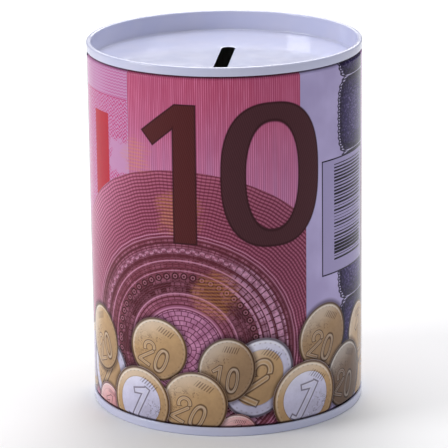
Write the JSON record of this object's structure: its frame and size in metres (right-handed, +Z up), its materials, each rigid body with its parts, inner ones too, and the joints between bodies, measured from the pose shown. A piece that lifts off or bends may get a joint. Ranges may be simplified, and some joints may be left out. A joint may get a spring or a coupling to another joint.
{
  "type": "tin money box",
  "caption": "Round seamed tinplate money box with a recessed slotted top, a plain recessed base and a printed body.",
  "frame": {"origin": "centre of the base, in the plane that the bottom rim stands on", "axes": "+Z up along the tin's axis, +Y along the coin slot and towards the welded side seam, -Y towards the front of the print"},
  "size_m": [0.087, 0.087, 0.1175],
  "materials": {
    "printed_tin": "gloss clear lacquer over a printed tinplate sheet",
    "white_enamel": "gloss white stoving enamel",
    "seam_compound": "matt flowed-in sealing compound"
  },
  "bodies": {
    "root": {"body_shell": "printed_tin", "top_end": "white_enamel", "bottom_end": "white_enamel", "top_seam_compound": "seam_compound", "bottom_seam_compound": "seam_compound"}
  },
  "joints": []
}
